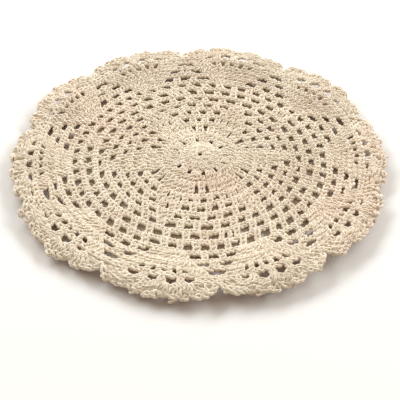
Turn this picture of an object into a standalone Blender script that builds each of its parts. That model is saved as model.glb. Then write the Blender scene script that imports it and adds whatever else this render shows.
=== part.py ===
"""Round crocheted lace doily, a pinwheel with a fan border, lying flat.

One cotton sheet worked from the centre outwards. It is solid where the stitches stand
close (centre, six swirling petals, ten fans) and cut through where chains leave a space.
Its middle lies on the surface and its fan border ripples a few millimetres up.
"""
import math
from collections import namedtuple

import bmesh
import bpy
from mathutils import Vector
from mathutils.geometry import delaunay_2d_cdt

MM = 0.001

# Driving sizes, in millimetres.
RIM_RADIUS = 100.0           # mean radius at the scallop tips: a 200 mm (8 inch) doily
SHEET_THICKNESS = 2.8        # close stitches, two yarns thick
EDGE_THICKNESS = 2.3         # beside a space and along the rim
CENTRE_HOLE_RADIUS = 1.6
CENTRE_HOLE_SIDES = 10
DOME_HEIGHT = 2.8            # the close centre stands a little proud of the surface,
DOME_RADIUS = 29.0           # and the sheet lies on it outside this radius
FANS_START = 67.0            # up to here, where the fans begin to lift
CREST_RADIUS = 90.0          # the fans stand highest here and droop to their tips
BACKING_STEP = 6.6           # one round of trebles, the spacing of the points inside the sheet
BACKING_CLEARANCE = 2.2      # those points keep this far from a space

# The rounds that leave spaces over 4 mm. Each of the repeats has a run of equal spaces,
# one pitch apart, whose middle is at middle_deg in the first repeat. Widths run around
# the doily and heights out from its centre. Taper is a space's outer width over its inner
# width, and bow is how far the ends of a run fall back towards the centre.
Round = namedtuple("Round", "name radius repeats spaces middle_deg pitch_deg width height taper bow")
ROUNDS = (
    Round("wedge, three spaces", 33.3, 6, 3, 33.9, 11.8, 4.3, 3.1, 1.15, 0.0),
    Round("wedge, four spaces", 40.1, 6, 4, 35.9, 11.0, 4.7, 3.2, 1.15, 0.0),
    Round("wedge, five spaces", 46.4, 6, 5, 37.6, 10.6, 5.1, 3.2, 1.10, 0.0),
    Round("wedge, six spaces", 52.7, 6, 6, 39.0, 10.0, 5.4, 3.3, 1.10, 0.0),
    Round("band below the ring", 59.2, 6, 6, 14.5, 8.8, 5.2, 3.4, 1.05, 0.0),
    Round("ring under the fans", 65.8, 10, 5, 5.6, 7.2, 4.8, 3.6, 1.05, 0.0),
    Round("between fans, three", 72.4, 10, 3, 23.6, 6.9, 4.8, 3.0, 0.90, 0.0),
    Round("between fans, two", 78.4, 10, 2, 23.6, 8.0, 4.6, 2.7, 0.85, 0.0),
    Round("between fans, one", 84.0, 10, 1, 23.6, 7.2, 5.2, 2.7, 0.80, 0.0),
    Round("arches on the fans", 91.4, 10, 4, 5.6, 5.9, 4.8, 3.4, 0.50, 1.8),
)

# How far the worked rounds inside the fans are pulled round, anticlockwise, and outwards.
Pull = namedtuple("Pull", "at_deg turn_deg outward")
PULLS = (
    Pull(32.0, -4.5, 0.9),
    Pull(95.0, -0.8, 0.2),
    Pull(162.0, 4.2, 0.5),
    Pull(220.0, 2.2, 0.4),
    Pull(270.0, 0.6, -0.6),
    Pull(302.0, -0.3, -2.3),
    Pull(338.0, -1.3, -0.2),
)
PULL_GROWS = (12.0, 44.0)    # the outward pull comes in between these radii
PULL_FADES = (62.0, 96.0)    # and goes between these

# The ten fans as they lie: where the middle of each points and how far its tips reach,
# how high its crest and its tips stand, and the same for the notch that follows it.
Fan = namedtuple("Fan", "middle_deg reach crest edge notch_radius notch_crest notch_edge")
FANS = (
    Fan(4.0, 99.5, 4.2, 2.4, 93.0, 2.6, 1.2),
    Fan(39.5, 101.5, 5.2, 3.2, 91.5, 2.2, 1.0),
    Fan(77.5, 100.5, 4.6, 2.0, 92.5, 2.8, 1.0),
    Fan(117.0, 101.0, 5.0, 2.4, 92.5, 2.4, 0.8),
    Fan(150.5, 101.5, 5.4, 3.0, 91.5, 2.4, 0.8),
    Fan(185.0, 100.0, 4.4, 1.4, 92.5, 3.6, 1.8),
    Fan(222.5, 100.0, 3.4, 0.6, 92.5, 3.0, 0.4),
    Fan(259.5, 99.5, 3.6, 0.8, 91.5, 3.4, 2.4),
    Fan(292.5, 100.0, 4.2, 1.6, 91.5, 3.6, 2.8),
    Fan(328.0, 99.0, 3.8, 1.8, 92.5, 2.8, 1.4),
)
REPEAT_DEG = 36.0            # one fan of an even doily
FIRST_FAN_DEG = 5.6          # its first fan
PULLED_INSIDE = 59.0         # rounds inside this radius follow PULLS,
FANNED_OUTSIDE = 66.0        # and outside this one they follow FANS
SCALLOPS_PER_FAN = 4
SCALLOP_DEPTH = 1.6
SCALLOP_POINTS = 5
SHOULDER_DROP = 3.0          # the rim of a fan falls back this far towards its ends
NOTCH_SHARPNESS = 14.0       # how suddenly the rim drops into a notch
END_SHARE = 0.62             # the flat ends of a space, as a share of its width
FILL_TOLERANCE = 1e-6


def smooth(value, start, end):
    """Ease from 0 at start to 1 at end."""
    part = min(max((value - start) / (end - start), 0.0), 1.0)
    return part * part * (3.0 - 2.0 * part)


def blend(start, end, share):
    """A value part of the way from start to end."""
    return start + (end - start) * share


def fan_place(even_deg):
    """The fan before an angle of the even doily, the fan after it, and the share between."""
    turns = (even_deg - FIRST_FAN_DEG) / REPEAT_DEG
    number = math.floor(turns)
    return FANS[number % len(FANS)], FANS[(number + 1) % len(FANS)], turns - number


def pull_at(even_deg):
    """How far the work at an angle inside the fans is pulled round and outwards."""
    for here, after in zip(PULLS, PULLS[1:] + PULLS[:1]):
        span = (after.at_deg - here.at_deg) % 360.0
        share = ((even_deg - here.at_deg) % 360.0) / span
        if share < 1.0:
            turn_deg = blend(here.turn_deg, after.turn_deg, share)
            return turn_deg, blend(here.outward, after.outward, share)
    return PULLS[0].turn_deg, PULLS[0].outward


def fanned_turn(even_deg):
    """How far an angle among the fans lies from its place on the even doily, in degrees."""
    here, after, share = fan_place(even_deg)
    laid = here.middle_deg + share * ((after.middle_deg - here.middle_deg) % 360.0)
    return (laid - even_deg + 180.0) % 360.0 - 180.0


def true_angle(even_deg, radius):
    """Where an angle of the even doily lies on this one, in radians."""
    fanned = smooth(radius, PULLED_INSIDE, FANNED_OUTSIDE)
    turn = blend(pull_at(even_deg)[0], fanned_turn(even_deg), fanned)
    return math.radians(even_deg + turn)


def true_radius(even_deg, radius):
    """A radius of the even doily, stretched towards the fan's own reach and pulled."""
    here, after, share = fan_place(even_deg)
    reach = blend(here.reach, after.reach, smooth(share, 0.0, 1.0)) / RIM_RADIUS
    stretched = radius * (1.0 + (reach - 1.0) * smooth(radius, FANS_START, RIM_RADIUS))
    pulled = smooth(radius, *PULL_GROWS) * (1.0 - smooth(radius, *PULL_FADES))
    return stretched + pull_at(even_deg)[1] * pulled


def lift(even_deg, radius):
    """Height of the underside above the surface: a low dome, then the rippled fans."""
    if radius < FANS_START:
        return DOME_HEIGHT * (1.0 - smooth(radius, 0.0, DOME_RADIUS))
    here, after, share = fan_place(even_deg)
    dip = math.sin(math.pi * share) ** 2
    crest = blend(blend(here.crest, after.crest, share), here.notch_crest, dip)
    edge = blend(blend(here.edge, after.edge, share), here.notch_edge, dip)
    if radius < CREST_RADIUS:
        return crest * smooth(radius, FANS_START, CREST_RADIUS)
    return blend(crest, edge, smooth(radius, CREST_RADIUS, RIM_RADIUS + SCALLOP_DEPTH))


def lay(even_deg, radius):
    """Plan position and height of a point of the even doily."""
    angle = true_angle(even_deg, radius)
    reach = true_radius(even_deg, radius)
    return reach * math.cos(angle), reach * math.sin(angle), lift(even_deg, radius)


def space_corners(middle_deg, middle_radius, round_):
    """The six corners of one space: flat ends inside and outside, a corner at each side."""
    half = round_.width / 2.0
    outer_half = half * round_.taper
    waist = (half + outer_half) / 2.0
    tall = round_.height / 2.0
    outline = (
        (-END_SHARE * half, -tall),
        (END_SHARE * half, -tall),
        (waist, 0.0),
        (END_SHARE * outer_half, tall),
        (-END_SHARE * outer_half, tall),
        (-waist, 0.0),
    )
    corners = []
    for across, up in outline:
        radius = middle_radius + up
        corners.append((middle_deg + math.degrees(across / radius), radius))
    return corners


def centre_hole():
    """The ring that the work starts from."""
    step = 360.0 / CENTRE_HOLE_SIDES
    return [(step * side, CENTRE_HOLE_RADIUS) for side in range(CENTRE_HOLE_SIDES)]


def all_spaces():
    """Every space of every round, as corners in even angle and radius."""
    spaces = [centre_hole()]
    for round_ in ROUNDS:
        last = (round_.spaces - 1) / 2.0
        for repeat in range(round_.repeats):
            for number in range(round_.spaces):
                from_middle = number - last
                fall = round_.bow * (from_middle / last) ** 2 if round_.bow else 0.0
                middle_deg = round_.middle_deg + repeat * 360.0 / round_.repeats
                middle_deg += from_middle * round_.pitch_deg
                spaces.append(space_corners(middle_deg, round_.radius - fall, round_))
    return spaces


def rim():
    """The scalloped edge, fan by fan, with a notch between two fans."""
    points = []
    steps = SCALLOPS_PER_FAN * SCALLOP_POINTS
    for number, fan in enumerate(FANS):
        before = FANS[number - 1].notch_radius
        for step in range(steps):
            share = step / steps
            side = abs(2.0 * share - 1.0)
            notch = before if share < 0.5 else fan.notch_radius
            scallop = SCALLOP_DEPTH * (1.0 - abs(math.sin(math.pi * share * SCALLOPS_PER_FAN)))
            crest = RIM_RADIUS - SHOULDER_DROP * side ** 2 - scallop
            radius = blend(crest, notch, side ** NOTCH_SHARPNESS)
            points.append((FIRST_FAN_DEG + REPEAT_DEG * (number - 0.5 + share), radius))
    return points


def inside(point, loop):
    """Whether a plan point is within a plan loop."""
    x, y = point
    crossings = 0
    for (ax, ay), (bx, by) in zip(loop, loop[1:] + loop[:1]):
        if (ay > y) != (by > y) and x < ax + (y - ay) * (bx - ax) / (by - ay):
            crossings += 1
    return crossings % 2 == 1


def in_a_hole(point, holes):
    """Whether a plan point is within one of the plan holes."""
    near = (hole for hole in holes if math.dist(point, hole[0]) < 2.0 * BACKING_STEP)
    return any(inside(point, hole) for hole in near)


def backing(holes):
    """Points inside the close stitches, on rings one round apart, clear of every hole."""
    points = []
    corners = [corner for hole in holes for corner in hole]
    rings = int((RIM_RADIUS - BACKING_STEP) / BACKING_STEP)
    for ring in range(1, rings + 1):
        radius = ring * BACKING_STEP - CENTRE_HOLE_RADIUS
        count = round(2.0 * math.pi * radius / BACKING_STEP)
        for number in range(count):
            even_deg = 360.0 * (number + 0.5 * (ring % 2)) / count
            plan = lay(even_deg, radius)[:2]
            clear = min(math.dist(plan, corner) for corner in corners) > BACKING_CLEARANCE
            if clear and not in_a_hole(plan, holes):
                points.append((even_deg, radius))
    return points


def fill_plan(plan, edges, holes, outline):
    """Triangles between the rim and the holes, and which plan point each corner is."""
    corners, _, faces, sources, _, _ = delaunay_2d_cdt(plan, edges, [], 0, FILL_TOLERANCE, True)
    kept = []
    for face in faces:
        middle = tuple(sum((corners[k] for k in face), Vector((0.0, 0.0))) / len(face))
        if inside(middle, outline) and not in_a_hole(middle, holes):
            kept.append(face)
    return [points[0] for points in sources], kept


def make_sheet(name):
    """The whole doily as one closed sheet, with its plan centred on the origin."""
    spaces = all_spaces()
    holes = [[lay(*corner)[:2] for corner in space] for space in spaces]
    edges = []
    places = []
    for loop in spaces + [rim()]:
        start = len(places)
        edges += [(start + k, start + (k + 1) % len(loop)) for k in range(len(loop))]
        places += [lay(*corner) for corner in loop]
    on_edge = len(places)
    outline = [place[:2] for place in places[start:]]
    places += [lay(*point) for point in backing(holes)]
    plan = [Vector(place[:2]) for place in places]
    origins, faces = fill_plan(plan, edges, holes, outline)
    middle_x = (min(p.x for p in plan) + max(p.x for p in plan)) / 2.0
    middle_y = (min(p.y for p in plan) + max(p.y for p in plan)) / 2.0

    sheet = bmesh.new()
    below, above = [], []
    for origin in origins:
        x, y, height = places[origin]
        thickness = EDGE_THICKNESS if origin < on_edge else SHEET_THICKNESS
        corner = Vector((x - middle_x, y - middle_y, height)) * MM
        below.append(sheet.verts.new(corner))
        above.append(sheet.verts.new(corner + Vector((0.0, 0.0, thickness * MM))))
    for face in faces:
        sheet.faces.new([above[k] for k in face])
        sheet.faces.new([below[k] for k in reversed(face)])
    sides = {(a, b) for face in faces for a, b in zip(face, face[1:] + face[:1])}
    for a, b in sorted(sides):
        if (b, a) not in sides:
            sheet.faces.new((above[b], above[a], below[a], below[b]))
    bmesh.ops.triangulate(sheet, faces=sheet.faces)
    mesh = bpy.data.meshes.new(name)
    sheet.to_mesh(mesh)
    sheet.free()
    doily = bpy.data.objects.new(name, mesh)
    bpy.context.collection.objects.link(doily)
    return doily


def cotton(name):
    """Unbleached cream cotton yarn."""
    material = bpy.data.materials.new(name)
    material.use_nodes = True
    shader = material.node_tree.nodes["Principled BSDF"]
    shader.inputs["Base Color"].default_value = (0.80, 0.68, 0.50, 1.0)
    shader.inputs["Roughness"].default_value = 0.9
    shader.inputs["Metallic"].default_value = 0.0
    return material


def main():
    for old in list(bpy.data.objects):
        bpy.data.objects.remove(old)
    doily = make_sheet("doily")
    doily.data.materials.append(cotton("cream cotton"))


main()
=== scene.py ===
"""Round crocheted lace doily, worked yarn by yarn: trebles, their wraps and their loops.

The chart is written for an even doily, as an angle and a radius, and is then laid on the
frame as the cloth lies, with its middle pulled round and its ten fans rippled. Chart
lengths are in millimetres and angles in degrees, anticlockwise from +X.
"""
import math
from collections import namedtuple

import bpy
import numpy as np
from bpy.props import FloatProperty, FloatVectorProperty, IntProperty, PointerProperty
from bpy.types import Operator, Panel, PropertyGroup
from mathutils import Matrix, Vector


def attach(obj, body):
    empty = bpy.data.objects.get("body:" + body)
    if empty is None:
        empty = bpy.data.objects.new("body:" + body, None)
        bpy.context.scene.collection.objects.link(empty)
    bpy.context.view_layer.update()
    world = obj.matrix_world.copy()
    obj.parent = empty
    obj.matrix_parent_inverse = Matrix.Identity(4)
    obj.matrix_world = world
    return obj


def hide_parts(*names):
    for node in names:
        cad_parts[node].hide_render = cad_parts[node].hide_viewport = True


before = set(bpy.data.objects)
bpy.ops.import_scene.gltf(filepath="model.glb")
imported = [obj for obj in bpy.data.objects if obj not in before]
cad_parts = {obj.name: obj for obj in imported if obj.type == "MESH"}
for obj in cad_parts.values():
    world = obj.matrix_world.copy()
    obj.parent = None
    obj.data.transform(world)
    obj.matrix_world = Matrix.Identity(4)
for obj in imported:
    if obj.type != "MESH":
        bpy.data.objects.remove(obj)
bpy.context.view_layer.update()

bl_info = {
    "name": "Crocheted Lace Doily",
    "version": (1, 0, 0),
    "blender": (4, 5, 0),
    "location": "View3D > Sidebar > Doily",
    "description": "Works a round cotton doily from trebles, wraps and chain loops",
    "category": "Add Mesh",
}

MM = 0.001
DOILY = "doily"
COTTON = "cream cotton yarn"

# The even doily and how it lies.
RIM_RADIUS = 100.0
SHEET_MIDDLE = 1.35          # height of the middle of the sheet over its underside
LOWEST_STRAND = -0.50        # from that middle, so that no yarn passes the surface
DOME_HEIGHT = 2.8
DOME_RADIUS = 29.0
FANS_START = 67.0            # the fans begin to lift here
CREST_RADIUS = 90.0
PULLED_INSIDE = 59.0         # rounds within this follow the pulls,
FANNED_OUTSIDE = 66.0        # and from here out they follow the fans
REPEAT_DEG = 36.0
FIRST_FAN_DEG = 5.6
SCALLOPS_PER_FAN = 4
SCALLOP_DEPTH = 1.6
SHOULDER_DROP = 3.0
RUFFLE_HEIGHT = 0.7          # how far each shell of the rim stands up
RUFFLE_START = 89.0
LUMP_HEIGHT = 0.9            # the rim's small lumps, from two waves counted round the doily
LUMP_WAVES = (37, 58)
OUTLINE_STEPS = 20           # points to a fan where the outline's middle is found
NOTCH_SHARPNESS = 14.0

Pull = namedtuple("Pull", "at_deg turn_deg outward lean_deg")
PULLS = (
    Pull(32.0, -4.5, 0.9, 0.8),
    Pull(95.0, -0.8, 0.2, 1.8),
    Pull(162.0, 4.2, 0.5, 2.4),
    Pull(220.0, 2.2, 0.4, 3.0),
    Pull(270.0, 0.6, -0.6, 0.3),
    Pull(302.0, -0.3, -2.3, -2.8),
    Pull(338.0, -1.3, -0.2, -1.0),
)
PULLS_AT = [pull.at_deg for pull in PULLS]
PULL_GROWS = (12.0, 44.0)    # the rounds are pulled outwards most between these radii
PULL_FADES = (62.0, 96.0)
Fan = namedtuple("Fan", "middle_deg reach crest edge notch_radius notch_crest notch_edge")
FANS = (
    Fan(4.0, 99.5, 4.2, 2.4, 93.0, 2.6, 1.2),
    Fan(39.5, 101.5, 5.2, 3.2, 91.5, 2.2, 1.0),
    Fan(77.5, 100.5, 4.6, 2.0, 92.5, 2.8, 1.0),
    Fan(117.0, 101.0, 5.0, 2.4, 92.5, 2.4, 0.8),
    Fan(150.5, 101.5, 5.4, 3.0, 91.5, 2.4, 0.8),
    Fan(185.0, 100.0, 4.4, 1.4, 92.5, 3.6, 1.8),
    Fan(222.5, 100.0, 3.4, 0.6, 92.5, 3.0, 0.4),
    Fan(259.5, 99.5, 3.6, 0.8, 91.5, 3.4, 2.4),
    Fan(292.5, 100.0, 4.2, 1.6, 91.5, 3.6, 2.8),
    Fan(328.0, 99.0, 3.8, 1.8, 92.5, 2.8, 1.4),
)
LAID = {name: np.array([getattr(fan, name) for fan in FANS]) for name in Fan._fields}

# The close centre, worked in trebles from a small ring. The third round is in groups of
# three, and the small gaps between them are closed from a little further out.
Round = namedtuple("Round", "inner outer count foot_width head_width")
START_RING_RADIUS = 2.7
START_RING_LINKS = 6
START_RING_HEIGHT = 0.1
FIRST_ROUND = Round(3.0, 6.6, 12, 0.45, 1.25)
FIRST_LEAN_DEG = 2.0
SECOND_ROUND = Round(6.6, 10.6, 24, 0.85, 1.02)
SECOND_START_DEG = 7.0
SECOND_SPREAD_DEG = 2.4      # the feet of each pair stand this far from their heads
THIRD_ROUND = Round(13.2, 20.8, 12, 0.75, 1.3)
THIRD_MIDDLE_DEG = 22.0
THIRD_FOOT_STEP_DEG = 4.8
THIRD_HEAD_STEP_DEG = 7.7
GAP_STEP_DEG = 15.0
GAP_ROUND = Round(15.9, 20.8, 12, 0.9, 1.2)

# The six petals and the wedges of spaces between them.
Wedge = namedtuple("Wedge", "inner outer spaces middle_deg pitch_deg petal_trebles")
WEDGES = (
    Wedge(20.8, 29.8, 2, 32.2, 13.0, 6),
    Wedge(29.8, 36.7, 3, 33.9, 11.8, 5),
    Wedge(36.7, 43.3, 4, 35.9, 11.0, 4),
    Wedge(43.3, 49.5, 5, 37.6, 10.6, 3),
    Wedge(49.5, 55.9, 6, 39.0, 10.0, 1),
    Wedge(55.9, 62.5, 6, 14.5, 8.8, 3),
)
PETALS = 6

# The ring of spaces under the fans, and the fans: where each treble stands, in degrees
# from the middle of its fan, at its foot and at its head.
POST_WIDTH = 1.55            # how wide a treble stands between two spaces,
EDGE_WIDTH = 1.35            # and beside one space
RING_ROUND = Round(62.5, 69.2, 50, POST_WIDTH, POST_WIDTH)
FanRound = namedtuple("FanRound", "inner outer foot_width head_width feet_deg heads_deg")
FAN_ROUNDS = (
    FanRound(
        69.2, 75.5, 0.9, 1.1,
        (-5.2, -3.7, -2.2, -0.8, 0.8, 2.2, 3.7, 5.2, 14.4, 21.6),
        (-8.7, -6.2, -3.7, -1.2, 1.2, 3.7, 6.2, 8.7, 14.4, 21.6),
    ),
    FanRound(
        75.5, 81.2, 0.9, 1.1,
        (-8.6, -6.7, -4.8, -2.9, -0.9, 0.9, 2.9, 4.8, 6.7, 8.6, 17.0, 19.0),
        (-12.2, -9.5, -6.8, -4.1, -1.4, 1.4, 4.1, 6.8, 9.5, 12.2, 16.9, 19.1),
    ),
    FanRound(
        81.2, 86.9, 0.8, 0.85,
        (-12.8, -11.2, -9.6, -8.0, -4.8, -1.6, 1.6, 4.8, 8.0, 9.6, 11.2, 12.8),
        (-15.6, -13.6, -11.8, -10.0, -6.0, -2.0, 2.0, 6.0, 10.0, 11.8, 13.6, 15.6),
    ),
)

# The arches of chain on each fan, and the shell of trebles in each arch.
Arch = namedtuple("Arch", "from_deg from_radius to_deg to_radius crown_radius")
ARCHES = (
    Arch(-11.8, 87.0, -5.9, 87.8, 92.6),
    Arch(-5.9, 87.8, 0.0, 88.0, 93.8),
    Arch(0.0, 88.0, 5.9, 87.8, 93.8),
    Arch(5.9, 87.8, 11.8, 87.0, 92.6),
)
ANCHOR_HEIGHT = 3.4          # the short stitches that tie an arch down
ANCHOR_BELOW = 0.6           # the share of one that lies within the arch's end
APEX_CHAIN_RADIUS = 88.6
APEX_LINKS = 6
APEX_HEIGHT = 0.25
ARCH_LINKS = 4
ARCH_STEPS = 16
ARCH_SQUARENESS = 0.55
SHELL_TREBLES = 6
SHELL_WIDTHS = (0.7, 1.0)
SHELL_FOOT_DROP = 0.22       # its outer feet follow the arch down, by the square of their place
SHELL_FOOT_STEP_DEG = 0.85
SHELL_HEAD_STEP_DEG = 1.62
SHELL_HEAD_BELOW_RIM = 1.5
RIM_CHAIN_BELOW_RIM = 1.1
RIM_DIP_BELOW_RIM = 2.2      # the loop in the dip between two shells
RIM_CHAIN_HEIGHT = 0.15

# A treble: two twisted legs. Each row gives how far across, how far up as a share of the
# treble, and how high over the middle of the sheet.
LEG = (
    (-0.35, -0.22, -0.45),
    (-0.78, -0.12, 0.35),
    (-1.02, 0.06, 0.86),
    (-1.04, 0.27, 0.60),
    (-0.70, 0.49, 0.34),
    (-0.92, 0.70, 0.50),
    (-0.70, 0.89, 0.22),
    (-0.45, 1.04, -0.28),
)
OTHER_LEG = (
    (0.35, -0.22, -0.45),
    (0.78, -0.12, 0.35),
    (1.02, 0.06, 0.84),
    (0.80, 0.27, 0.36),
    (0.92, 0.49, 0.46),
    (0.66, 0.70, 0.20),
    (0.86, 0.89, 0.28),
    (0.45, 1.04, -0.28),
)
# The strand that fills a treble between its legs.
CORE = (
    (0.35, -0.12, -0.50),
    (0.10, 0.10, -0.22),
    (-0.12, 0.32, -0.10),
    (-0.10, 0.54, -0.10),
    (0.12, 0.78, -0.18),
    (0.05, 1.02, -0.50),
)
# The wrap over the front of a treble: across, along and height, from its own middle.
WRAP = (
    (1.00, -1.65, -0.40),
    (1.14, -1.22, 0.16),
    (0.74, -0.62, 0.58),
    (0.03, 0.00, 0.72),
    (-0.68, 0.62, 0.60),
    (-1.14, 1.22, 0.16),
    (-1.00, 1.65, -0.40),
)
FULL_WRAP_LENGTH = 5.6       # on a shorter treble the wrap is drawn up shorter too
WRAP_FULLNESS = 0.92
ONE_WRAP = 0.47              # where the wraps lie up a treble that has one,
TWO_WRAPS = (0.31, 0.69)     # and up one that has two
TALL_TREBLE = 7.5            # a treble over this length has two wraps,
TALL_CLOSE_TREBLE = 5.5      # and one among close trebles is so from this length
CLOSE_WRAP_RISE = 0.16
CLOSE_LEG_DROP = 0.2         # the legs of close trebles sink in behind their wraps
# One link of chain, a bight that is drawn up through the link before: along as a share of
# the link, across and height.
LINK = (
    (-0.30, 0.16, -0.50),
    (-0.02, 0.28, 0.36),
    (0.28, 0.66, 0.46),
    (0.60, 1.12, 0.28),
    (0.95, 0.80, -0.12),
    (1.12, 0.00, -0.30),
    (0.95, -0.80, -0.12),
    (0.60, -1.12, 0.28),
    (0.28, -0.66, 0.46),
    (-0.02, -0.28, 0.36),
    (-0.30, -0.16, -0.50),
)
# The bump at the back of a link.
BUMP = (
    (-0.20, 0.45, -0.28),
    (0.05, 0.65, -0.38),
    (0.35, 0.20, -0.42),
    (0.65, -0.30, -0.42),
    (0.92, -0.62, -0.36),
    (1.15, -0.15, -0.28),
)
LINK_LENGTH = 2.7
CORE_FULLNESS = 1.2          # thickness of a strand against the plain yarn
LOOP_FULLNESS = 1.18         # loops are slacker, so their yarn stands fuller
HEAD_CHAIN_HEIGHT = -0.12
CENTRE_CHAIN_HEIGHT = -0.32
SPACE_CHAIN_HEIGHT = -0.02
SPACE_CHAIN_WIDTH = 1.1      # chain over a space is slacker, most so in the inner rounds
INNER_CHAIN_WIDTH = 1.32
WIDE_SPACES_START = 50.0
YARN_SIDES = 6
END_THICKNESS = 0.85         # a strand's ends are drawn in, and rounded by this much of it
END_ROUNDING = 0.3
SIDE_GUIDE = (0.31, 0.17, 0.93)

# How far hand work strays: one standard deviation, in millimetres or as a share.
TREBLE_STRAY = 0.38
ROUND_STRAY = 0.12
WIDTH_STRAY = 0.11
HEIGHT_STRAY = 0.11
WRAP_STRAY = 0.05
CHAIN_STRAY = 0.36
LINK_STRAY = 0.10
LINK_WIDTH_STRAY = 0.08
LINK_HEIGHT_STRAY = 0.08
EDGE_LOOSENESS = 2.2         # how much less evenly the edging is worked than the rest

# The cotton's finish: sizes of its noises, in turns to the metre, and shares of painted shade and of
# random tone.
FIBRE_SCALE = 2600.0
CLOUD_SCALE = 28.0
PATCH_SCALE = 17.0
PROUD_HEIGHT = 0.45          # yarn at this height takes no painted shade, and at this depth it takes all
DRAWN_HEIGHT = -0.9          # and at this depth it takes all
PLY_SHADE = 0.16
CLOUD_SHADE = 0.35
LEAST_SHADE = 0.12
PATCH_MIDDLE = 0.46
PATCH_CONTRAST = 5.0
FIBRE_BUMP = 0.4
BUMP_STRENGTH = 0.46
BUMP_DISTANCE = 0.00024

# The stage.
Lamp = namedtuple("Lamp", "name place width power")
LAMPS = (
    Lamp("key light", (-0.90, 1.07, 0.84), 2.8, "key_power"),
    Lamp("side light", (1.16, 0.73, 0.81), 2.8, "side_power"),
    Lamp("front light", (0.15, -1.35, 0.42), 2.0, "front_power"),
)
LAMP_DEPTH = 0.5
FLOOR_WIDTH = 6.0
FLOOR_THICKNESS = 0.02
CAMERA_DIP_DEG = 3.25        # the camera looks past the doily's centre by this much,
CAMERA_TURN_DEG = -0.09      # to the side by this,
CAMERA_ROLL_DEG = 1.22       # and leans by this


def smooth(value, start, end):
    """Ease from 0 at start to 1 at end."""
    part = np.clip((value - start) / (end - start), 0.0, 1.0)
    return part * part * (3.0 - 2.0 * part)


def blend(start, end, share):
    """A value part of the way from start to end."""
    return start + (end - start) * share


def fan_place(even_deg):
    """The fan before an angle of the even doily, the fan after it, and the share between."""
    turns = (even_deg - FIRST_FAN_DEG) / REPEAT_DEG
    number = np.floor(turns).astype(int)
    return number % len(FANS), (number + 1) % len(FANS), turns - number


def pulled_by(part, even_deg):
    """One part of the pulls, at an angle of the even doily."""
    values = [getattr(pull, part) for pull in PULLS]
    return np.interp(even_deg, PULLS_AT, values, period=360.0)


def true_angle(even_deg, radius):
    """Where an angle of the even doily lies on this one, in radians."""
    pulled = pulled_by("turn_deg", even_deg)
    here, after, share = fan_place(even_deg)
    middle = LAID["middle_deg"]
    laid = middle[here] + share * ((middle[after] - middle[here]) % 360.0)
    fanned = (laid - even_deg + 180.0) % 360.0 - 180.0
    turn = blend(pulled, fanned, smooth(radius, PULLED_INSIDE, FANNED_OUTSIDE))
    return np.radians(even_deg + turn)


def true_radius(even_deg, radius):
    """A radius of the even doily, stretched towards the fan's own reach."""
    here, after, share = fan_place(even_deg)
    reach = LAID["reach"]
    wanted = blend(reach[here], reach[after], smooth(share, 0.0, 1.0)) / RIM_RADIUS
    stretched = radius * (1.0 + (wanted - 1.0) * smooth(radius, FANS_START, RIM_RADIUS))
    share = smooth(radius, *PULL_GROWS) * (1.0 - smooth(radius, *PULL_FADES))
    return stretched + pulled_by("outward", even_deg) * share


def lean(even_deg):
    """How far round a treble leans between its foot and its head, in degrees."""
    return float(pulled_by("lean_deg", even_deg))


def lift(even_deg, radius):
    """Height of the underside above the surface: a low dome, then the rippled fans."""
    here, after, share = fan_place(even_deg)
    dip = np.sin(np.pi * share) ** 2
    crest = blend(LAID["crest"][here], LAID["crest"][after], share)
    edge = blend(LAID["edge"][here], LAID["edge"][after], share)
    crest = blend(crest, LAID["notch_crest"][here], dip)
    edge = blend(edge, LAID["notch_edge"][here], dip)
    rising = crest * smooth(radius, FANS_START, CREST_RADIUS)
    falling = blend(crest, edge, smooth(radius, CREST_RADIUS, RIM_RADIUS + SCALLOP_DEPTH))
    dome = DOME_HEIGHT * (1.0 - smooth(radius, 0.0, DOME_RADIUS))
    return np.where(radius < FANS_START, dome, np.where(radius < CREST_RADIUS, rising, falling))


def rim_radius(even_deg):
    """Radius of the scalloped edge at an angle of the even doily."""
    turns = (even_deg - FIRST_FAN_DEG) / REPEAT_DEG + 0.5
    number = np.floor(turns).astype(int)
    share = turns - number
    side = np.abs(2.0 * share - 1.0)
    notches = LAID["notch_radius"]
    count = len(FANS)
    notch = np.where(share < 0.5, notches[(number - 1) % count], notches[number % count])
    scallop = SCALLOP_DEPTH * (1.0 - np.abs(np.sin(np.pi * share * SCALLOPS_PER_FAN)))
    crest = RIM_RADIUS - SHOULDER_DROP * side ** 2 - scallop
    return blend(crest, notch, side ** NOTCH_SHARPNESS)


def plan(even_deg, radius):
    """Plan position of a point of the even doily, from its worked centre."""
    angle = true_angle(even_deg, radius)
    reach = true_radius(even_deg, radius)
    return reach * np.cos(angle), reach * np.sin(angle)


def worked_centre():
    """Where the worked centre lies in the frame, whose origin is the middle of the plan."""
    steps = np.arange(OUTLINE_STEPS * len(FANS))
    even_deg = FIRST_FAN_DEG + REPEAT_DEG * (steps / OUTLINE_STEPS - 0.5)
    x, y = plan(even_deg, rim_radius(even_deg))
    return -(x.min() + x.max()) / 2.0, -(y.min() + y.max()) / 2.0


CENTRE_X, CENTRE_Y = worked_centre()


def ruffle(even_deg, radius):
    """How far the shells and the rim's small lumps stand up from the even rim."""
    share = fan_place(even_deg)[2]
    shell = np.abs(np.sin(np.pi * share * SCALLOPS_PER_FAN))
    first, second = (np.sin(waves * np.radians(even_deg)) for waves in LUMP_WAVES)
    up = RUFFLE_HEIGHT * shell + LUMP_HEIGHT * (0.5 + 0.5 * first * second)
    return up * smooth(radius, RUFFLE_START, RIM_RADIUS)


def lay(even_deg, radius, height):
    """Points of the frame, in metres, for chart points over the middle of the sheet."""
    x, y = plan(even_deg, radius)
    under = lift(even_deg, radius) + ruffle(even_deg, radius)
    z = under + SHEET_MIDDLE + np.maximum(height, LOWEST_STRAND)
    return np.stack((x + CENTRE_X, y + CENTRE_Y, z), axis=-1) * MM


Treble = namedtuple("Treble", "foot_deg foot_radius head_deg head_radius foot_width head_width")


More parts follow.
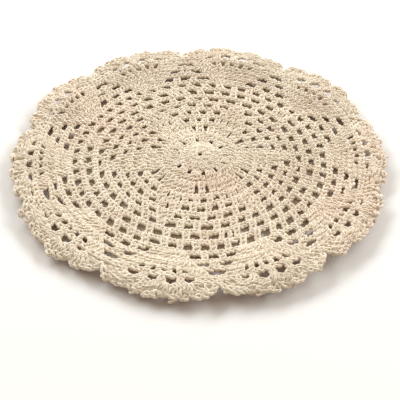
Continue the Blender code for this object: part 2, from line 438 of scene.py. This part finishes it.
class Chart:
    """Every treble of the doily, and every line of chain with its height."""

    def __init__(self):
        self.trebles = []
        self.chains = []

    def treble(self, foot_deg, inner, head_deg, outer, foot_width=1.0, head_width=1.0):
        self.trebles.append(Treble(foot_deg, inner, head_deg, outer, foot_width, head_width))

    def stand(self, foot_deg, head_deg, on_round):
        """A treble of one round, from its foot to its head."""
        widths = on_round.foot_width, on_round.head_width
        self.treble(foot_deg, on_round.inner, head_deg, on_round.outer, *widths)

    def heads(self, heads_deg, radius, height=HEAD_CHAIN_HEIGHT):
        """Loops over a closed round of trebles, given in order, and chain over its spaces."""
        closed = list(heads_deg) + [heads_deg[0] + 360.0]
        for here, after in zip(closed, closed[1:]):
            length = math.radians(after - here) * radius
            links = max(1, round(length / LINK_LENGTH))
            high = height if links == 1 else SPACE_CHAIN_HEIGHT
            self.chain([(here, radius), (after, radius)], links, high)

    def chain(self, points, links, height):
        self.chains.append((points, links, height))


def even_heads(start_deg, on_round):
    """Angles of the heads of an even round."""
    return [start_deg + number * 360.0 / on_round.count for number in range(on_round.count)]


def work_centre(chart):
    """The start ring and the three close rounds."""
    ring = [(0.0, START_RING_RADIUS), (360.0, START_RING_RADIUS)]
    chart.chain(ring, START_RING_LINKS, START_RING_HEIGHT)
    heads = even_heads(0.0, FIRST_ROUND)
    for head in heads:
        chart.stand(head - FIRST_LEAN_DEG, head, FIRST_ROUND)
    chart.heads(heads, FIRST_ROUND.outer, CENTRE_CHAIN_HEIGHT)
    heads = even_heads(SECOND_START_DEG, SECOND_ROUND)
    for number, head in enumerate(heads):
        spread = SECOND_SPREAD_DEG if number % 2 else -SECOND_SPREAD_DEG
        chart.stand(head + spread, head, SECOND_ROUND)
    chart.heads(heads, SECOND_ROUND.outer, CENTRE_CHAIN_HEIGHT)
    heads = []
    for middle in even_heads(THIRD_MIDDLE_DEG, THIRD_ROUND):
        for place in (-1, 0, 1):
            heads.append(middle + THIRD_HEAD_STEP_DEG * place)
            chart.stand(middle + THIRD_FOOT_STEP_DEG * place, heads[-1], THIRD_ROUND)
        heads.append(middle + GAP_STEP_DEG)
        chart.stand(heads[-1], heads[-1], GAP_ROUND)
    chart.heads(heads, THIRD_ROUND.outer)


def work_wedges(chart):
    """Six petals of close trebles, and wedges of spaces that widen between them."""
    repeat_deg = 360.0 / PETALS
    for wedge in WEDGES:
        heads = []
        for petal in range(PETALS):
            start = petal * repeat_deg + wedge.middle_deg - wedge.pitch_deg * wedge.spaces / 2.0
            last = start + wedge.pitch_deg * wedge.spaces
            step = (start + repeat_deg - last) / max(wedge.petal_trebles - 1, 1)
            beside = wedge.spaces + (1 if wedge.petal_trebles > 1 else 0)
            for number in range(wedge.spaces + max(wedge.petal_trebles - 1, 0)):
                over = number - wedge.spaces
                head = last + step * over if over > 0 else start + wedge.pitch_deg * number
                between = 0 < number < wedge.spaces or wedge.petal_trebles == 1
                width = POST_WIDTH if between else EDGE_WIDTH if number < beside else 1.0
                chart.treble(head - lean(head), wedge.inner, head, wedge.outer, width, width)
                heads.append(head)
        chart.heads(heads, wedge.outer)


def work_ring(chart):
    """The even ring of spaces that the fans stand on."""
    half_step = 180.0 / RING_ROUND.count
    heads = even_heads(FIRST_FAN_DEG + half_step, RING_ROUND)
    for head in heads:
        chart.stand(head - lean(head), head, RING_ROUND)
    chart.heads(heads, RING_ROUND.outer)


def work_fans(chart):
    """Three rounds of each fan, with spaces between the fans."""
    for fan_round in FAN_ROUNDS:
        heads = []
        for fan in range(len(FANS)):
            middle = FIRST_FAN_DEG + REPEAT_DEG * fan
            for foot, head in zip(fan_round.feet_deg, fan_round.heads_deg):
                heads.append(middle + head)
                post = foot == head
                like = fan_round._replace(foot_width=POST_WIDTH, head_width=POST_WIDTH)
                chart.stand(middle + foot, heads[-1], like if post else fan_round)
        chart.heads(heads, fan_round.outer)


def arch_line(middle, arch):
    """Chart points along one arch of chain."""
    points = []
    for step in range(ARCH_STEPS + 1):
        share = step / ARCH_STEPS
        base = blend(arch.from_radius, arch.to_radius, share)
        rise = arch.crown_radius - blend(arch.from_radius, arch.to_radius, 0.5)
        even_deg = middle + blend(arch.from_deg, arch.to_deg, share)
        points.append((even_deg, base + rise * math.sin(math.pi * share) ** ARCH_SQUARENESS))
    return points


def work_edging(chart):
    """The arches of chain, a shell of trebles in each, and the loops along the rim."""
    last_place = (SHELL_TREBLES - 1) / 2.0
    rim_line = []
    for fan in range(len(FANS)):
        middle = FIRST_FAN_DEG + REPEAT_DEG * fan
        for number, arch in enumerate(ARCHES):
            chart.chain(arch_line(middle, arch), ARCH_LINKS, SPACE_CHAIN_HEIGHT)
            centre = middle + (arch.from_deg + arch.to_deg) / 2.0
            shell_deg = REPEAT_DEG / SCALLOPS_PER_FAN
            head_centre = middle + shell_deg * (number - (SCALLOPS_PER_FAN - 1) / 2.0)
            dip_deg = head_centre - shell_deg / 2.0
            dip = float(rim_radius(np.array(dip_deg)))
            rim_line.append((dip_deg, dip - RIM_DIP_BELOW_RIM))
            for treble in range(SHELL_TREBLES):
                place = treble - last_place
                foot = centre + SHELL_FOOT_STEP_DEG * place
                head = head_centre + SHELL_HEAD_STEP_DEG * place
                rim = float(rim_radius(np.array(head)))
                low = arch.crown_radius - SHELL_FOOT_DROP * place ** 2
                chart.treble(foot, low, head, rim - SHELL_HEAD_BELOW_RIM, *SHELL_WIDTHS)
                rim_line.append((head, rim - RIM_CHAIN_BELOW_RIM))
        ties = [(arch.from_deg, arch.from_radius) for arch in ARCHES]
        ties.append((ARCHES[-1].to_deg, ARCHES[-1].to_radius))
        for tie_deg, radius in ties:
            low = radius - ANCHOR_BELOW * ANCHOR_HEIGHT
            chart.treble(middle + tie_deg, low, middle + tie_deg, low + ANCHOR_HEIGHT)
        end = middle + ARCHES[-1].to_deg
        after = middle + REPEAT_DEG + ARCHES[0].from_deg
        apex = [(end, APEX_CHAIN_RADIUS), (after, APEX_CHAIN_RADIUS)]
        chart.chain(apex, APEX_LINKS, APEX_HEIGHT)
    rim_line.append((rim_line[0][0] + 360.0, rim_line[0][1]))
    for here, after in zip(rim_line, rim_line[1:]):
        chart.chain([here, after], 1, RIM_CHAIN_HEIGHT)


def doily_chart():
    """The whole doily, round by round from its centre."""
    chart = Chart()
    work_centre(chart)
    work_wedges(chart)
    work_ring(chart)
    work_fans(chart)
    work_edging(chart)
    return chart


Columns = namedtuple("Columns", Treble._fields + ("raised",))


def treble_columns(chart, uneven, seed):
    """The trebles as columns of numbers, each a little out of place as hand work is."""
    even = Treble(*np.array(chart.trebles, dtype=float).T)
    chance = np.random.RandomState(seed)
    count = len(chart.trebles)
    loose = uneven * np.where(even.foot_radius > RUFFLE_START, EDGE_LOOSENESS, 1.0)
    head_aside = chance.normal(0.0, TREBLE_STRAY, count) * uneven
    foot_aside = chance.normal(0.0, TREBLE_STRAY, count) * uneven
    outward = chance.normal(0.0, ROUND_STRAY, count) * loose
    width = 1.0 + chance.normal(0.0, WIDTH_STRAY, count) * uneven
    return Columns(
        foot_deg=even.foot_deg + np.degrees(foot_aside / even.foot_radius),
        foot_radius=even.foot_radius,
        head_deg=even.head_deg + np.degrees(head_aside / even.head_radius),
        head_radius=even.head_radius + outward,
        foot_width=even.foot_width * width,
        head_width=even.head_width * width,
        raised=chance.normal(0.0, HEIGHT_STRAY, count) * loose,
    )


def treble_lengths(columns):
    """How far round and how far out each treble runs, and its length, in millimetres."""
    mean_radius = (columns.foot_radius + columns.head_radius) / 2.0
    run = np.radians(columns.head_deg - columns.foot_deg) * mean_radius
    rise = columns.head_radius - columns.foot_radius
    return run, rise, np.hypot(run, rise)


def close_trebles(chart):
    """Which trebles stand close together, with no space beside them."""
    return np.array([treble.foot_width for treble in chart.trebles]) < EDGE_WIDTH


def along_trebles(columns, rows):
    """Chart points for a strand that follows each treble: across, share up, height."""
    trebles = Columns(*(column[:, None] for column in columns))
    across, share, height = (np.array(part)[None, :] for part in zip(*rows))
    run, rise, length = treble_lengths(trebles)
    aside = across * blend(trebles.foot_width, trebles.head_width, np.clip(share, 0.0, 1.0))
    radius = trebles.foot_radius + rise * share - aside * run / length
    even_deg = blend(trebles.foot_deg, trebles.head_deg, share)
    even_deg = even_deg + np.degrees(aside * rise / length / radius)
    return even_deg, radius, height + trebles.raised


def point_on(points, share):
    """Chart point and heading, run and rise in millimetres, at shares of a chart line."""
    line = np.array(points, dtype=float)
    radius = line[:, 1]
    mean_radius = (radius[1:] + radius[:-1]) / 2.0
    runs = np.radians(np.diff(line[:, 0])) * mean_radius
    rises = np.diff(radius)
    lengths = np.hypot(runs, rises)
    reached = np.concatenate(([0.0], np.cumsum(lengths)))
    at = share * reached[-1]
    step = np.clip(np.searchsorted(reached, at, side="right") - 1, 0, len(lengths) - 1)
    part = (at - reached[step]) / lengths[step]
    even_deg = line[step, 0] + np.diff(line[:, 0])[step] * part
    on_radius = radius[step] + rises[step] * part
    return even_deg, on_radius, runs[step] / lengths[step], rises[step] / lengths[step]


def link_points(chart, rows, uneven, seed):
    """Chart points of one strand of every link of chain."""
    chance = np.random.RandomState(seed)
    along, across, height = (np.array(part) for part in zip(*rows))
    degrees, radii, heights = [], [], []
    for points, links, base in chart.chains:
        loose = uneven * (EDGE_LOOSENESS if points[0][1] > RUFFLE_START else 1.0)
        drawn = chance.normal(0.0, CHAIN_STRAY) * loose
        slack = INNER_CHAIN_WIDTH if points[0][1] < WIDE_SPACES_START else SPACE_CHAIN_WIDTH
        width = 1.0 if links == 1 else slack
        for number in range(links):
            wide = width + chance.normal(0.0, LINK_WIDTH_STRAY) * uneven
            aside = drawn + chance.normal(0.0, LINK_STRAY) * loose
            raised = base + chance.normal(0.0, LINK_HEIGHT_STRAY) * loose
            share = (number + along) / links
            even_deg, radius, run, rise = point_on(points, share)
            offset = across * wide + aside
            moved = radius + offset * run
            degrees.append(even_deg - np.degrees(offset * rise / moved))
            radii.append(moved)
            heights.append(height + raised)
    return np.array(degrees), np.array(radii), np.array(heights)


def sweep(paths, thickness):
    """Closed round tubes along many centre lines: corners, faces and yarn coordinates."""
    count, rings, _ = paths.shape
    sides = YARN_SIDES
    tangents = np.gradient(paths, axis=1)
    tangents /= np.linalg.norm(tangents, axis=2, keepdims=True)
    normal = np.cross(tangents[:, 0], np.array(SIDE_GUIDE))
    angles = 2.0 * np.pi * np.arange(sides) / sides
    corners = np.empty((count, rings * sides + 2, 3))
    for ring in range(rings):
        tangent = tangents[:, ring]
        normal = normal - tangent * np.sum(normal * tangent, axis=1, keepdims=True)
        normal /= np.linalg.norm(normal, axis=1, keepdims=True)
        binormal = np.cross(tangent, normal)
        around = (
            np.cos(angles)[None, :, None] * normal[:, None, :]
            + np.sin(angles)[None, :, None] * binormal[:, None, :]
        )
        reach = thickness[:, ring, None, None] / 2.0
        corners[:, ring * sides:(ring + 1) * sides] = paths[:, ring, None, :] + around * reach
    rounding = thickness[..., None] * END_ROUNDING
    corners[:, -2] = paths[:, 0] - tangents[:, 0] * rounding[:, 0]
    corners[:, -1] = paths[:, -1] + tangents[:, -1] * rounding[:, -1]

    steps = np.linalg.norm(np.diff(paths, axis=1), axis=2)
    lengths = np.concatenate((np.zeros((count, 1)), np.cumsum(steps, axis=1)), axis=1)
    quads, quad_uvs, caps, cap_uvs = [], [], [], []
    first, last = rings * sides, rings * sides + 1
    for ring in range(rings - 1):
        for side in range(sides):
            after = (side + 1) % sides
            quads.append((
                ring * sides + side, ring * sides + after,
                (ring + 1) * sides + after, (ring + 1) * sides + side,
            ))
            quad_uvs.append((
                (ring, side), (ring, side + 1), (ring + 1, side + 1), (ring + 1, side),
            ))
    for side in range(sides):
        after = (side + 1) % sides
        end = (rings - 1) * sides
        caps.append((first, after, side))
        cap_uvs.append(((0, side), (0, side + 1), (0, side)))
        caps.append((last, end + side, end + after))
        cap_uvs.append(((rings - 1, side), (rings - 1, side), (rings - 1, side + 1)))
    start = (np.arange(count) * (rings * sides + 2))[:, None, None]
    faces = (start + np.array(quads)[None]).reshape(-1, 4).tolist()
    faces += (start + np.array(caps)[None]).reshape(-1, 3).tolist()
    uvs = []
    for table in (np.array(quad_uvs), np.array(cap_uvs)):
        along = lengths[:, table[..., 0]] / MM
        around = np.broadcast_to(table[..., 1] / sides, along.shape)
        uvs.append(np.stack((along, around), axis=-1).reshape(-1, 2))
    return corners.reshape(-1, 3), faces, np.concatenate(uvs)


def on_corners(values):
    """A value for each corner of a swept tube, from one for each of its rings."""
    return np.concatenate((np.repeat(values, YARN_SIDES, axis=1), values[:, :1], values[:, -1:]), axis=1)


def make_yarn(name, paths, thickness, heights, seed, material):
    """One piece of the doily: many short lengths of yarn, each a closed tube."""
    corners, faces, uvs = sweep(paths, thickness)
    mesh = bpy.data.meshes.new(name)
    mesh.from_pydata(corners.tolist(), [], faces)
    mesh.uv_layers.new(name="yarn").data.foreach_set("uv", uvs.ravel())
    mesh.polygons.foreach_set("use_smooth", [True] * len(faces))
    # The depth attribute drives the painted shade: it is each corner's height in the sheet, so the
    # underside of every strand lies deeper and is painted darker.
    depth = on_corners(heights)
    depth = depth + (corners[:, 2].reshape(depth.shape) - on_corners(paths[:, :, 2])) / MM
    tone = np.random.RandomState(seed).uniform(0.0, 1.0, len(paths))
    tone = np.repeat(tone[:, None], depth.shape[1], axis=1)
    for label, values in (("depth", depth), ("tone", tone)):
        layer = mesh.attributes.new(label, "FLOAT", "POINT")
        layer.data.foreach_set("value", values.ravel())
    mesh.materials.append(material)
    mesh.update()
    piece = bpy.data.objects.new(name, mesh)
    bpy.context.collection.objects.link(piece)
    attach(piece, "root")
    return piece


def tapered(count, rings, thickness):
    """Yarn thickness along each strand, a little thinner where its ends are drawn in."""
    shape = np.ones(rings)
    shape[0] = shape[-1] = END_THICKNESS
    return np.broadcast_to(shape * thickness, (count, rings))


class Shade:
    """A shader socket that can be written in an expression."""

    def __init__(self, tree, socket):
        self.tree = tree
        self.socket = socket

    def math(self, operation, first, second=0.0):
        node = self.tree.nodes.new("ShaderNodeMath")
        node.operation = operation
        for socket, value in zip(node.inputs, (first, second)):
            if isinstance(value, Shade):
                self.tree.links.new(value.socket, socket)
            else:
                socket.default_value = value
        return Shade(self.tree, node.outputs[0])

    def __add__(self, other):
        return self.math("ADD", self, other)

    def __radd__(self, other):
        return self.math("ADD", other, self)

    def __sub__(self, other):
        return self.math("SUBTRACT", self, other)

    def __rsub__(self, other):
        return self.math("SUBTRACT", other, self)

    def __mul__(self, other):
        return self.math("MULTIPLY", self, other)

    def __rmul__(self, other):
        return self.math("MULTIPLY", other, self)

    def sine(self):
        return self.math("SINE", self)

    def between(self, low, high):
        """0 at low and 1 at high, and no further."""
        share = (self - low) * (1.0 / (high - low))
        return self.math("MINIMUM", self.math("MAXIMUM", share, 0.0), 1.0)


class Finish:
    """A material under construction."""

    def __init__(self, name):
        self.material = bpy.data.materials.new(name)
        self.material.use_nodes = True
        self.tree = self.material.node_tree
        self.shader = self.tree.nodes["Principled BSDF"]

    def node(self, kind, settings=None, sockets=None, output=0):
        """Add a node: its settings first, then values or links for its sockets."""
        node = self.tree.nodes.new(kind)
        for name, value in (settings or {}).items():
            setattr(node, name, value)
        for name, value in (sockets or {}).items():
            self.feed(node.inputs[name], value)
        return Shade(self.tree, node.outputs[output])

    def feed(self, socket, value):
        if isinstance(value, Shade):
            self.tree.links.new(value.socket, socket)
        else:
            socket.default_value = value

    def set(self, **sockets):
        for name, value in sockets.items():
            self.feed(self.shader.inputs[name.replace("_", " ")], value)

    def noise(self, place, scale, detail):
        sockets = {"Vector": place, "Scale": scale, "Detail": detail}
        return self.node("ShaderNodeTexNoise", {}, sockets)

    def mixed(self, factor, first, second):
        """A colour between two others."""
        settings = {"data_type": "RGBA", "clamp_factor": True}
        return self.node("ShaderNodeMix", settings, {0: factor, 6: first, 7: second}, output=2)


def cotton(colours, yarn):
    """Unbleached plied cotton, with painted shade where it lies low in the work and between its plies.
    """
    finish = Finish(COTTON)
    along = finish.node("ShaderNodeSeparateXYZ", {}, {0: finish.node("ShaderNodeTexCoord", output=2)})
    around = Shade(finish.tree, along.socket.node.outputs["Y"])
    on_object = finish.node("ShaderNodeTexCoord", output=3)
    turn = 2.0 * math.pi * yarn.plies
    ply = (along * (turn * MM / yarn.ply_lay) + around * turn).sine()
    fibre = finish.noise(on_object, FIBRE_SCALE, 3.0)
    cloudy = finish.noise(on_object, CLOUD_SCALE, 2.0)
    patchy = finish.noise(on_object, PATCH_SCALE, 1.0)
    depth = finish.node("ShaderNodeAttribute", {"attribute_name": "depth"}, output=2)
    tone = finish.node("ShaderNodeAttribute", {"attribute_name": "tone"}, output=2)
    # Painted shade: the lower the yarn lies in the sheet, the more of the shade colour it takes, so
    # recesses, the walls of the holes and the underside of each strand are painted darker.
    painted_shade_mask = depth.between(PROUD_HEIGHT, DRAWN_HEIGHT)
    painted_shade_and_tone = painted_shade_mask * painted_shade_mask * colours.depth_shade + LEAST_SHADE
    # Painted shade in the grooves between the plies.
    painted_shade_and_tone = painted_shade_and_tone + (1.0 - ply.between(-1.0, 0.2)) * PLY_SHADE
    # Random tone from stitch to stitch and in soft clouds, mixed towards the same brown.
    painted_shade_and_tone = painted_shade_and_tone + (tone - 0.5) * colours.unevenness + (cloudy - 0.5) * CLOUD_SHADE
    rosy = (patchy - PATCH_MIDDLE) * PATCH_CONTRAST
    # The yarn's own colour, cream with rosy patches, which shows where no painted shade falls.
    proud = finish.mixed(rosy, (*colours.cream, 1.0), (*colours.blush, 1.0))
    bump = finish.node("ShaderNodeBump", {}, {
        "Height": ply.between(-1.0, 0.6) + fibre * FIBRE_BUMP,
        "Strength": BUMP_STRENGTH, "Distance": BUMP_DISTANCE,
    })
    finish.set(
        Base_Color=finish.mixed(painted_shade_and_tone, proud, (*colours.shade, 1.0)), Normal=bump, Roughness=0.88,
        Specular_IOR_Level=0.25, Sheen_Weight=0.12, Sheen_Roughness=0.5,
    )
    return finish.material


def shared_cotton(context):
    """The yarn's one material, made by the first piece that needs it."""
    made = bpy.data.materials.get(COTTON)
    return made or cotton(context.scene.doily_colours, context.scene.doily_yarn)


class DoilyYarn(PropertyGroup):
    """Sizes of the yarn and how evenly it is worked."""

    thickness: FloatProperty(
        name="Yarn thickness", description="Diameter of the cotton yarn",
        default=1.45 * MM, min=0.5 * MM, max=3.0 * MM, unit="LENGTH", precision=5,
    )
    ply_lay: FloatProperty(
        name="Ply lay", description="Length of yarn in which a ply turns once round it",
        default=6.0 * MM, min=1.0 * MM, max=30.0 * MM, unit="LENGTH", precision=5,
    )
    plies: IntProperty(name="Plies", description="Plies in the yarn", default=4, min=1, max=8)
    uneven: FloatProperty(
        name="Unevenness", description="How far the stitches stray from the chart",
        default=1.0, min=0.0, max=3.0, subtype="FACTOR",
    )
    seed: IntProperty(name="Seed", description="Which uneven doily is worked", default=7, min=0)


class DoilyColours(PropertyGroup):
    """Colours of the cotton, and of the shade painted into it."""

    # The yarn's own colour, which shows where the painted shade leaves it.
    cream: FloatVectorProperty(
        name="Cream", description="Colour of the yarn where it stands proud",
        default=(0.868, 0.757, 0.577), size=3, min=0.0, max=1.0, subtype="COLOR",
    )
    blush: FloatVectorProperty(
        name="Blush", description="Colour of the yarn in its rosier patches",
        default=(0.886, 0.743, 0.567), size=3, min=0.0, max=1.0, subtype="COLOR",
    )
    # Painted shade: the brown mixed into the yarn where it lies low in the work, on the underside of
    # each strand and in the grooves between its plies; the factor below sets how much of it the lowest
    # yarn takes.
    shade: FloatVectorProperty(
        name="Shade", description="Colour of the yarn where it is drawn in",
        default=(0.36, 0.155, 0.045), size=3, min=0.0, max=1.0, subtype="COLOR",
    )
    depth_shade: FloatProperty(
        name="Shade in the work", description="How much of the shade drawn-in yarn takes",
        default=1.0, min=0.0, max=1.0, subtype="FACTOR",
    )
    unevenness: FloatProperty(
        name="Tone unevenness", description="How much the tone changes from stitch to stitch",
        default=0.21, min=0.0, max=1.0, subtype="FACTOR",
    )


class DoilyStage(PropertyGroup):
    """Floor, light and camera."""

    floor_colour: FloatVectorProperty(
        name="Floor", description="Colour of the plain floor",
        default=(0.88, 0.83, 0.76), size=3, min=0.0, max=1.0, subtype="COLOR",
    )
    light_colour: FloatVectorProperty(
        name="Light colour", description="Colour of all the lights",
        default=(0.94, 1.02, 1.10), size=3, min=0.0, max=2.0, subtype="COLOR",
    )
    sky_colour: FloatVectorProperty(
        name="Sky colour", description="Colour of the even light from all round",
        default=(1.0, 0.755, 0.53), size=3, min=0.0, max=1.0, subtype="COLOR",
    )
    key_power: FloatProperty(
        name="Key light", description="Power of the wide light behind on the left",
        default=39.6, min=0.0, unit="POWER",
    )
    side_power: FloatProperty(
        name="Side light", description="Power of the wide light behind on the right",
        default=31.9, min=0.0, unit="POWER",
    )
    front_power: FloatProperty(
        name="Front light", description="Power of the low light in front",
        default=4.5, min=0.0, unit="POWER",
    )
    sky: FloatProperty(
        name="Sky", description="Strength of the even light from all round",
        default=0.225, min=0.0, max=2.0,
    )
    camera_distance: FloatProperty(
        name="Camera distance", description="From the camera to the doily's centre",
        default=0.44, min=0.1, unit="LENGTH",
    )
    camera_rise: FloatProperty(
        name="Camera elevation", description="Angle of the camera over the doily's centre",
        default=math.radians(40.725), subtype="ANGLE",
    )
    camera_lens: FloatProperty(
        name="Lens", description="Focal length in millimetres on a 36 mm sensor",
        default=74.03, min=1.0,
    )


class DOILY_OT_work_trebles(Operator):
    """Work the trebles, two twisted legs each, which carry the whole doily"""

    bl_idname = "doily.work_trebles"
    bl_label = "Work Trebles"

    def execute(self, context):
        yarn = context.scene.doily_yarn
        chart = doily_chart()
        columns = treble_columns(chart, yarn.uneven, yarn.seed)
        sunk = columns._replace(raised=columns.raised - CLOSE_LEG_DROP * close_trebles(chart))
        legs = [along_trebles(sunk, rows) for rows in (LEG, OTHER_LEG)]
        even_deg, radius, height = (np.concatenate(part) for part in zip(*legs))
        paths = lay(even_deg, radius, height)
        thickness = tapered(*height.shape, yarn.thickness)
        piece = make_yarn("trebles", paths, thickness, height, yarn.seed + 1, shared_cotton(context))
        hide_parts(DOILY)
        even_deg, radius, height = along_trebles(columns, CORE)
        paths = lay(even_deg, radius, height)
        thickness = tapered(*height.shape, yarn.thickness * CORE_FULLNESS)
        make_yarn("treble_cores", paths, thickness, height, yarn.seed + 6, shared_cotton(context))
        return {"FINISHED"}


class DOILY_OT_work_wraps(Operator):
    """Wrap the yarn once over each treble, and twice over a tall one"""

    bl_idname = "doily.work_wraps"
    bl_label = "Work Wraps"

    def execute(self, context):
        yarn = context.scene.doily_yarn
        chart = doily_chart()
        columns = treble_columns(chart, yarn.uneven, yarn.seed)
        chance = np.random.RandomState(yarn.seed + 2)
        length = treble_lengths(columns)[2]
        across, along, high = (np.array(part) for part in zip(*WRAP))
        wraps = []
        close = close_trebles(chart)
        twice = length >= np.where(close, TALL_CLOSE_TREBLE, TALL_TREBLE)
        once = ~twice & (columns.head_radius > THIRD_ROUND.inner)
        for middle, wrapped in ((ONE_WRAP, once), *((place, twice) for place in TWO_WRAPS)):
            for number in np.flatnonzero(wrapped):
                one = Columns(*(column[number:number + 1] for column in columns))
                place = middle + chance.normal(0.0, WRAP_STRAY) * yarn.uneven
                drawn = min(1.0, length[number] / FULL_WRAP_LENGTH)
                proud = CLOSE_WRAP_RISE if close[number] else 0.0
                rows = list(zip(across, place + along * drawn / length[number], high + proud))
                wraps.append(along_trebles(one, rows))
        even_deg, radius, height = (np.concatenate(part) for part in zip(*wraps))
        paths = lay(even_deg, radius, height)
        thickness = tapered(*height.shape, yarn.thickness * WRAP_FULLNESS)
        make_yarn("wraps", paths, thickness, height, yarn.seed + 3, shared_cotton(context))
        return {"FINISHED"}


class DOILY_OT_work_loops(Operator):
    """Work the loops over every head, the chain over every space, and the rim"""

    bl_idname = "doily.work_loops"
    bl_label = "Work Loops and Chains"

    def execute(self, context):
        yarn = context.scene.doily_yarn
        chart = doily_chart()
        inner, outer = Chart(), Chart()
        for line in chart.chains:
            part = inner if line[0][0][1] <= RING_ROUND.inner else outer
            part.chains.append(line)
        for name, part, rows, fullness in (
            ("inner_loops", inner, LINK, LOOP_FULLNESS),
            ("outer_loops", outer, LINK, LOOP_FULLNESS),
            ("back_bumps", chart, BUMP, 1.0),
        ):
            even_deg, radius, height = link_points(part, rows, yarn.uneven, yarn.seed + 4)
            paths = lay(even_deg, radius, height)
            thickness = tapered(*height.shape, yarn.thickness * fullness)
            make_yarn(name, paths, thickness, height, yarn.seed + 5, shared_cotton(context))
        return {"FINISHED"}


class DOILY_OT_declare_cloth(Operator):
    bl_idname = "doily.declare_cloth"
    bl_label = "Declare the Cloth"

    def execute(self, context):
        return {"FINISHED"}


class DOILY_OT_set_stage(Operator):
    """Put down the floor and set the lights and the camera"""

    bl_idname = "doily.set_stage"
    bl_label = "Set the Stage"

    def execute(self, context):
        stage = context.scene.doily_stage
        self.put_floor(stage)
        for lamp in LAMPS:
            self.put_light(stage, lamp)
        world = context.scene.world or bpy.data.worlds.new("sky")
        context.scene.world = world
        world.use_nodes = True
        background = world.node_tree.nodes["Background"]
        background.inputs["Color"].default_value = (*stage.sky_colour, 1.0)
        background.inputs["Strength"].default_value = stage.sky
        context.scene.view_settings.view_transform = "Standard"
        self.put_camera(context, stage)
        return {"FINISHED"}

    def put_floor(self, stage):
        bpy.ops.object.select_all(action="DESELECT")
        bpy.ops.mesh.primitive_plane_add(size=FLOOR_WIDTH, location=(0.0, 0.0, 0.0))
        floor = bpy.context.active_object
        floor.name = "floor"
        bpy.ops.object.mode_set(mode="EDIT")
        bpy.ops.mesh.select_all(action="SELECT")
        down = {"value": (0.0, 0.0, -FLOOR_THICKNESS)}
        bpy.ops.mesh.extrude_region_move(TRANSFORM_OT_translate=down)
        bpy.ops.mesh.select_all(action="SELECT")
        bpy.ops.mesh.normals_make_consistent(inside=False)
        bpy.ops.object.mode_set(mode="OBJECT")
        finish = Finish("floor paint")
        finish.set(Base_Color=(*stage.floor_colour, 1.0), Roughness=0.9)
        floor.data.materials.append(finish.material)

    def put_light(self, stage, lamp):
        turn = (-Vector(lamp.place)).to_track_quat("-Z", "Y").to_euler()
        bpy.ops.object.light_add(type="AREA", location=lamp.place, rotation=turn)
        light = bpy.context.active_object
        light.name = lamp.name
        light.data.shape = "ELLIPSE"
        light.data.size = lamp.width
        light.data.size_y = LAMP_DEPTH
        light.data.energy = getattr(stage, lamp.power)
        light.data.color = stage.light_colour

    def put_camera(self, context, stage):
        target = Vector((CENTRE_X, CENTRE_Y, DOME_HEIGHT + 2.0 * SHEET_MIDDLE)) * MM
        back = Vector((0.0, -math.cos(stage.camera_rise), math.sin(stage.camera_rise)))
        bpy.ops.object.camera_add(location=target + back * stage.camera_distance)
        camera = bpy.context.active_object
        camera.name = "camera"
        camera.data.lens = stage.camera_lens
        camera.data.clip_start = 0.01
        tilt = math.radians(90.0 - CAMERA_DIP_DEG) - stage.camera_rise
        turn = Matrix.Rotation(math.radians(CAMERA_TURN_DEG), 3, "Z")
        roll = Matrix.Rotation(math.radians(CAMERA_ROLL_DEG), 3, "Z")
        camera.rotation_euler = (turn @ Matrix.Rotation(tilt, 3, "X") @ roll).to_euler()
        context.scene.camera = camera


class DOILY_PT_tools(Panel):
    bl_label = "Doily"
    bl_idname = "DOILY_PT_tools"
    bl_space_type = "VIEW_3D"
    bl_region_type = "UI"
    bl_category = "Doily"

    def draw(self, context):
        groups = (
            (context.scene.doily_yarn, DoilyYarn, ("doily.work_trebles", "doily.work_wraps",
                                                   "doily.work_loops", "doily.declare_cloth")),
            (context.scene.doily_colours, DoilyColours, ()),
            (context.scene.doily_stage, DoilyStage, ("doily.set_stage",)),
        )
        for settings, kind, operators in groups:
            box = self.layout.box()
            for name in kind.__annotations__:
                box.prop(settings, name)
            for operator in operators:
                box.operator(operator)


CLASSES = (
    DoilyYarn,
    DoilyColours,
    DoilyStage,
    DOILY_OT_work_trebles,
    DOILY_OT_work_wraps,
    DOILY_OT_work_loops,
    DOILY_OT_declare_cloth,
    DOILY_OT_set_stage,
    DOILY_PT_tools,
)


def register():
    for each in CLASSES:
        bpy.utils.register_class(each)
    bpy.types.Scene.doily_yarn = PointerProperty(type=DoilyYarn)
    bpy.types.Scene.doily_colours = PointerProperty(type=DoilyColours)
    bpy.types.Scene.doily_stage = PointerProperty(type=DoilyStage)


def unregister():
    del bpy.types.Scene.doily_stage
    del bpy.types.Scene.doily_colours
    del bpy.types.Scene.doily_yarn
    for each in reversed(CLASSES):
        bpy.utils.unregister_class(each)


def main():
    register()
    bpy.ops.doily.work_trebles()
    bpy.ops.doily.work_wraps()
    bpy.ops.doily.work_loops()
    bpy.ops.doily.declare_cloth()
    bpy.ops.doily.set_stage()


if __name__ == "__main__":
    main()
